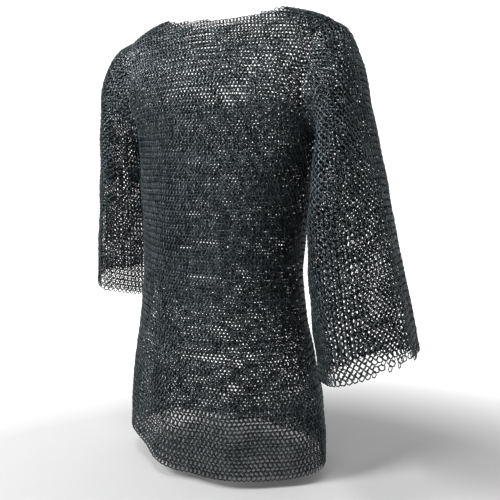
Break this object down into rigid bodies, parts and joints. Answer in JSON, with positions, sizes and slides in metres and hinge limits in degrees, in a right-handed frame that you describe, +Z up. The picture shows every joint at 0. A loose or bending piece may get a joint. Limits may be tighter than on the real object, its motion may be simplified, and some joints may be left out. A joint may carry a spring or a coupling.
{
  "type": "chainmail hauberk",
  "caption": "Hip-length shirt of linked steel rings with a wide shallow neck, straight body and wide sleeves, hanging in its worn form",
  "frame": {"origin": "on the shoulder line, midway between the two sides of the neck opening, where the shirt hangs on shoulders or a stand", "axes": "+Z up along the shirt's length, +X to the wearer's left, -Y to the front"},
  "size_m": [0.6429, 0.3089, 0.8008],
  "materials": {
    "blackened_steel": "satin blackened and oiled round steel wire"
  },
  "bodies": {
    "root": {"front_panel": "blackened_steel", "back_panel": "blackened_steel", "left_sleeve": "blackened_steel", "right_sleeve": "blackened_steel"}
  },
  "joints": []
}
